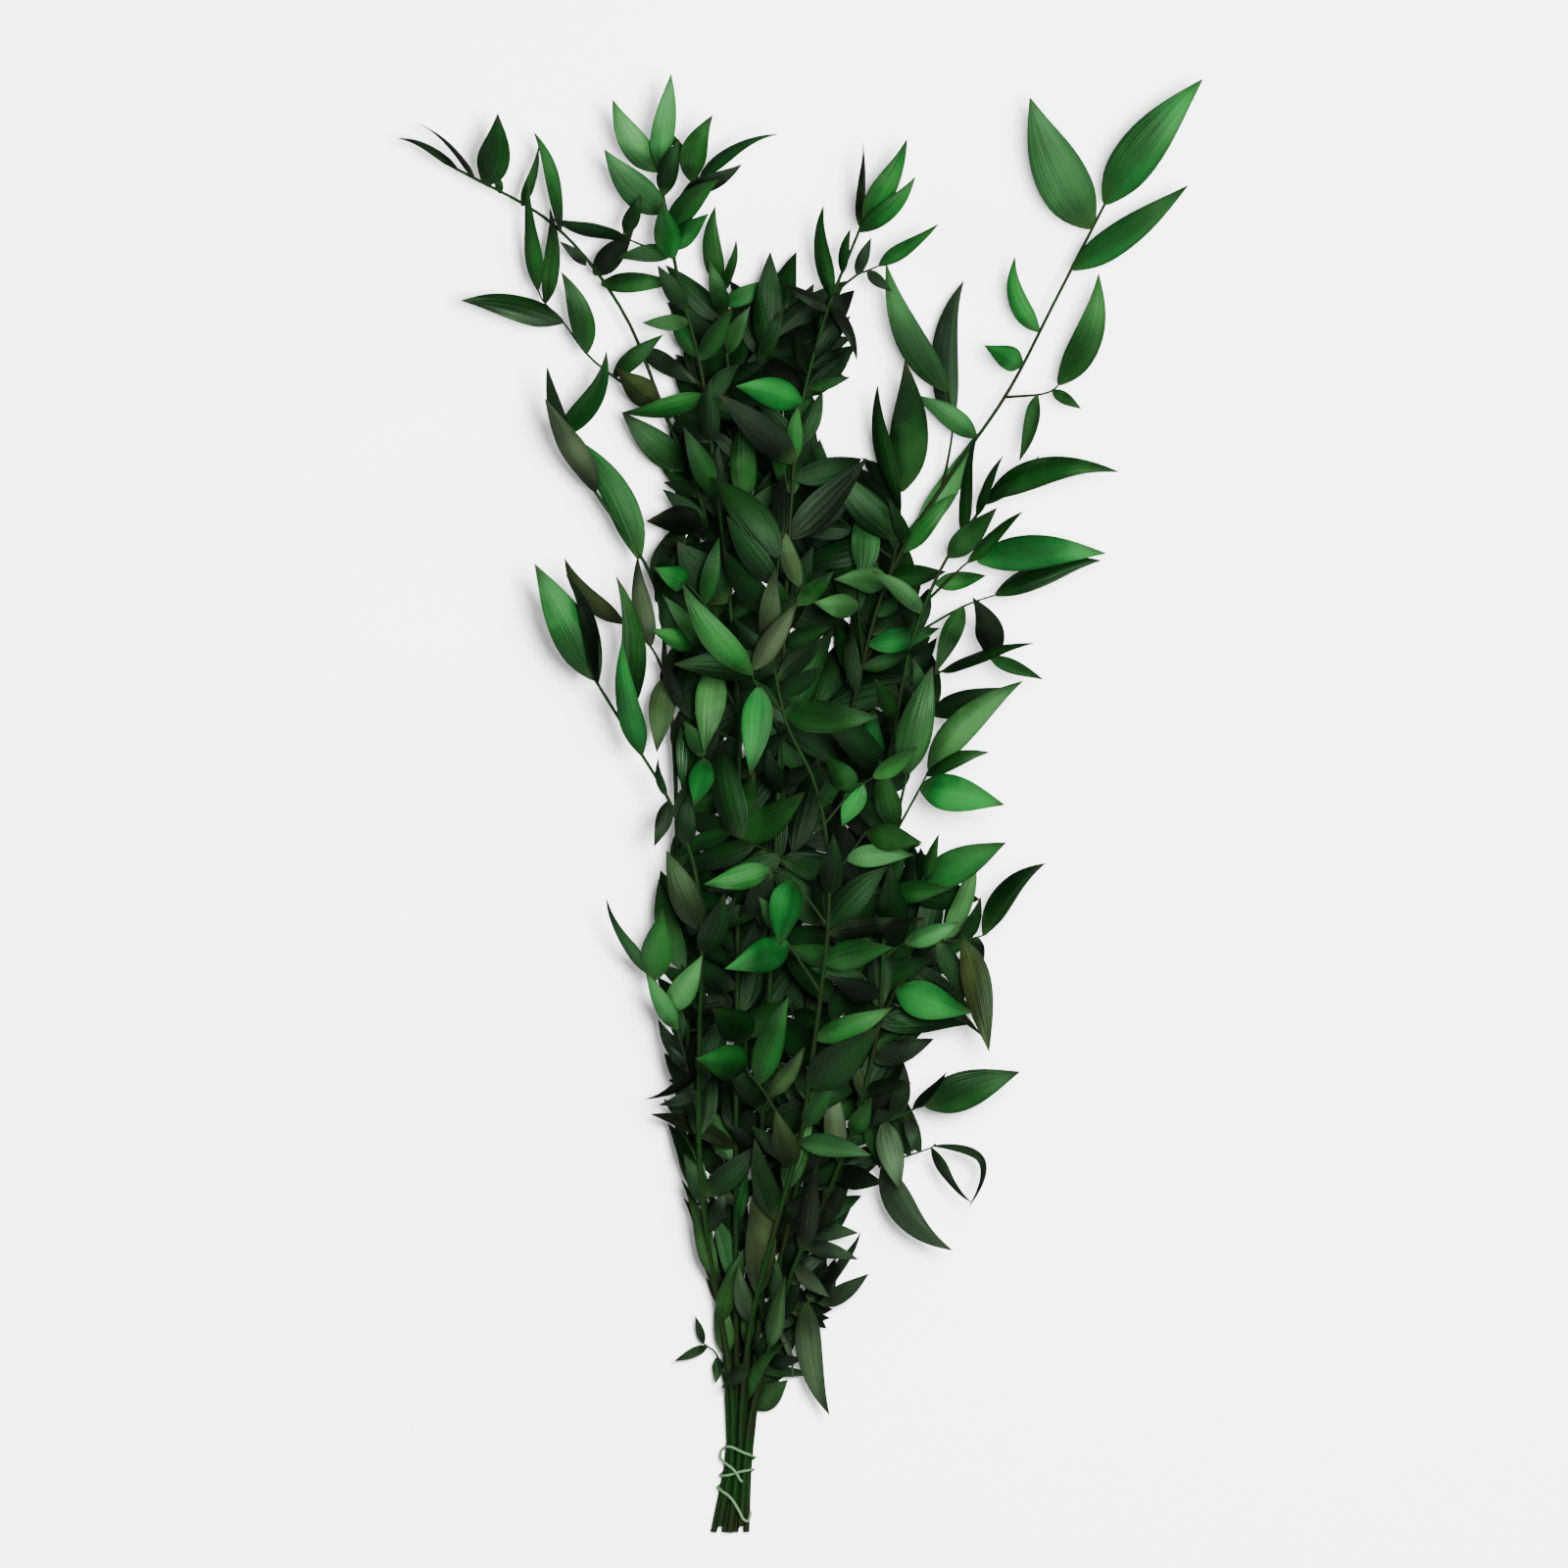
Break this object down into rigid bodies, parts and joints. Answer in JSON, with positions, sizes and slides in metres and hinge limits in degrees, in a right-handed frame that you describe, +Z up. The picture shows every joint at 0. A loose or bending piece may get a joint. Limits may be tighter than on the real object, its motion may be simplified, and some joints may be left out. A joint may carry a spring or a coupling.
{
  "type": "dried ruscus bunch",
  "caption": "Preserved ruscus branches with pointed green leaves, tied near the cut ends into a loose fan-shaped bunch that lies on its side.",
  "frame": {"origin": "on the surface the bunch lies on, under the centre of its bounding box", "axes": "+Y along the bunch from the cut ends to the leaf tips, +Z up from the surface, +X to the right of the bunch seen from above with the tips away"},
  "size_m": [0.386, 0.7023, 0.1151],
  "materials": {
    "foliage": "waxy satin leaf, deep green",
    "tie": "thin light green string"
  },
  "bodies": {
    "root": {"stem_01": "foliage", "stem_02": "foliage", "stem_03": "foliage", "stem_04": "foliage", "stem_05": "foliage", "stem_06": "foliage", "stem_07": "foliage", "stem_08": "foliage", "stem_09": "foliage", "stem_10": "foliage", "tie": "tie"}
  },
  "joints": []
}
